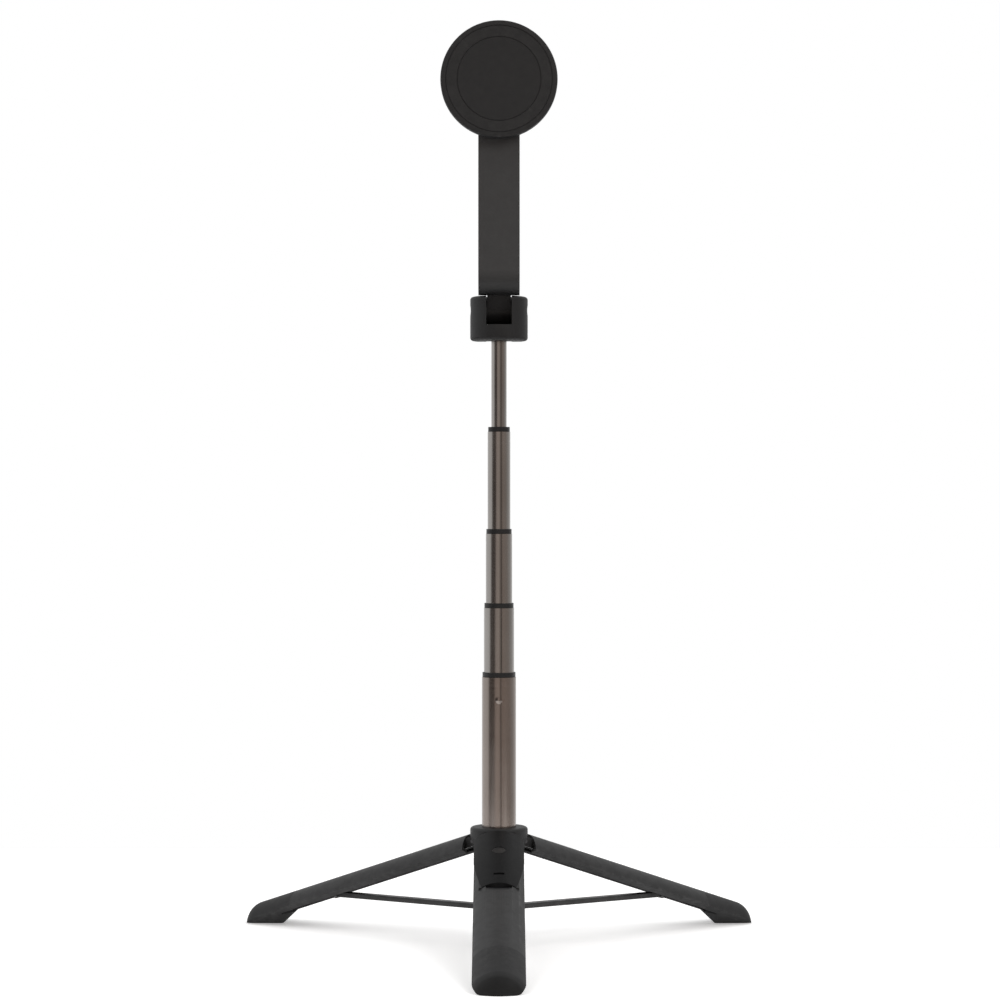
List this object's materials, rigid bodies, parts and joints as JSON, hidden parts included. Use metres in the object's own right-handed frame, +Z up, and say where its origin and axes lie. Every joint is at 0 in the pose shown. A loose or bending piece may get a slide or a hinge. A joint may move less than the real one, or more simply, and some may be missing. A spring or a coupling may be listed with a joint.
{
  "type": "selfie stick",
  "caption": "Telescopic selfie stick with a folding tripod foot, a tilting arm with a magnetic phone disc and a remote control docked on one leg.",
  "frame": {"origin": "middle of the whole object's box, on the surface that the feet stand on", "axes": "+Z up along the mast, -Y to the front, where the magnetic face looks and the leg with the remote points"},
  "size_m": [0.2608, 0.2292, 0.4515],
  "materials": {
    "charcoal_plastic": "fine matte texture",
    "boot_plastic": "fine matte texture",
    "remote_plastic": "satin",
    "button_plastic": "satin",
    "bronze_tube": "satin bronze-grey",
    "black_ring": "satin black",
    "white_bushing": "natural acetal",
    "steel": "plain turned",
    "dark_steel": "satin black paint",
    "nickel": "nickel plate",
    "face_rubber": "soft matte",
    "board": "green laminate",
    "cell_steel": "polished steel"
  },
  "bodies": {
    "base": {"tube_1": "bronze_tube", "tripod_hub": "charcoal_plastic", "mouth_ring_1": "black_ring", "column_end_cap": "charcoal_plastic", "end_cap_pin": "steel", "leg_hinge_pins": "steel", "strut_hinge_pins": "steel"},
    "stage_2": {"tube_2": "bronze_tube", "mouth_ring_2": "black_ring", "slider_bushing_2": "white_bushing"},
    "stage_3": {"tube_3": "bronze_tube", "mouth_ring_3": "black_ring", "slider_bushing_3": "white_bushing"},
    "stage_4": {"tube_4": "bronze_tube", "mouth_ring_4": "black_ring", "slider_bushing_4": "white_bushing"},
    "head": {"tube_5": "bronze_tube", "slider_bushing_5": "white_bushing", "head_hub": "charcoal_plastic", "head_grub_screw": "steel", "hinge_bolt": "steel", "hinge_nut": "steel", "hinge_friction_washers": "white_bushing"},
    "arm_body": {"arm": "charcoal_plastic"},
    "magnet_head": {"magnet_housing": "charcoal_plastic", "swivel_axle": "steel", "swivel_spring_washer": "steel", "swivel_screw": "steel", "steel_back_plate": "steel", "magnet_segments": "nickel", "face_pad": "face_rubber"},
    "remote": {"remote_top_shell": "remote_plastic", "remote_bottom_shell": "remote_plastic", "remote_board": "board", "dome_switch": "steel", "coin_cell": "cell_steel"},
    "button": {"shutter_button": "button_plastic"},
    "leg_front_body": {"leg_front": "charcoal_plastic", "foot_front": "boot_plastic"},
    "strut_front_body": {"strut_front": "dark_steel", "strut_slider_front": "black_ring"},
    "leg_right_body": {"leg_right": "charcoal_plastic", "foot_right": "boot_plastic"},
    "strut_right_body": {"strut_right": "dark_steel", "strut_slider_right": "black_ring"},
    "leg_left_body": {"leg_left": "charcoal_plastic", "foot_left": "boot_plastic"},
    "strut_left_body": {"strut_left": "dark_steel", "strut_slider_left": "black_ring"}
  },
  "joints": [
    {"name": "tube_2_slide", "type": "slide", "parent": "base", "child": "stage_2", "axis": [0, 0, 1], "range_m": [-0.029, 0.0595]},
    {"name": "tube_3_slide", "type": "slide", "parent": "stage_2", "child": "stage_3", "axis": [0, 0, 1], "range_m": [-0.0315, 0.055]},
    {"name": "tube_4_slide", "type": "slide", "parent": "stage_3", "child": "stage_4", "axis": [0, 0, 1], "range_m": [-0.045, 0.039]},
    {"name": "tube_5_slide", "type": "slide", "parent": "stage_4", "child": "head", "axis": [0, 0, 1], "range_m": [-0.0395, 0.0365]},
    {"name": "arm_tilt", "type": "hinge", "parent": "head", "child": "arm_body", "pos_m": [0, 0.03338, 0.3119], "axis": [-1, 0, 0], "range_deg": [0, 180]},
    {"name": "magnet_spin", "type": "hinge", "parent": "arm_body", "child": "magnet_head", "pos_m": [0, 0.01537, 0.423], "axis": [0, -1, 0], "continuous": true},
    {"name": "leg_fold_front", "type": "hinge", "parent": "base", "child": "leg_front_body", "pos_m": [0, 0.02347, 0.0505], "axis": [1, 0, 0], "range_deg": [0, 71.2]},
    {"name": "leg_fold_right", "type": "hinge", "parent": "base", "child": "leg_right_body", "pos_m": [0.00857, 0.03832, 0.0505], "axis": [-0.5, 0.866, 0], "range_deg": [0, 71.2]},
    {"name": "leg_fold_left", "type": "hinge", "parent": "base", "child": "leg_left_body", "pos_m": [-0.00857, 0.03832, 0.0505], "axis": [-0.5, -0.866, 0], "range_deg": [0, 71.2]},
    {"name": "strut_fold_front", "type": "hinge", "parent": "base", "child": "strut_front_body", "pos_m": [0, 0.02637, 0.0175], "axis": [1, 0, 0], "range_deg": [0, 90]},
    {"name": "strut_fold_right", "type": "hinge", "parent": "base", "child": "strut_right_body", "pos_m": [0.00606, 0.03687, 0.0175], "axis": [-0.5, 0.866, 0], "range_deg": [0, 90]},
    {"name": "strut_fold_left", "type": "hinge", "parent": "base", "child": "strut_left_body", "pos_m": [-0.00606, 0.03687, 0.0175], "axis": [-0.5, -0.866, 0], "range_deg": [0, 90]},
    {"name": "remote_undock", "type": "slide", "parent": "leg_front_body", "child": "remote", "axis": [0, -0.3223, 0.9466], "range_m": [0, 0.03]},
    {"name": "shutter_press", "type": "slide", "parent": "remote", "child": "button", "axis": [0, 0.3223, -0.9466], "range_m": [0, 0.0004], "stiffness_N_per_m": 1500}
  ],
  "couplings": [
    {"joint": "leg_fold_right", "follows": "leg_fold_front", "ratio": 1},
    {"joint": "leg_fold_left", "follows": "leg_fold_front", "ratio": 1},
    {"joint": "strut_fold_front", "follows": "leg_fold_front", "ratio": 1.264},
    {"joint": "strut_fold_right", "follows": "leg_fold_front", "ratio": 1.264},
    {"joint": "strut_fold_left", "follows": "leg_fold_front", "ratio": 1.264}
  ]
}
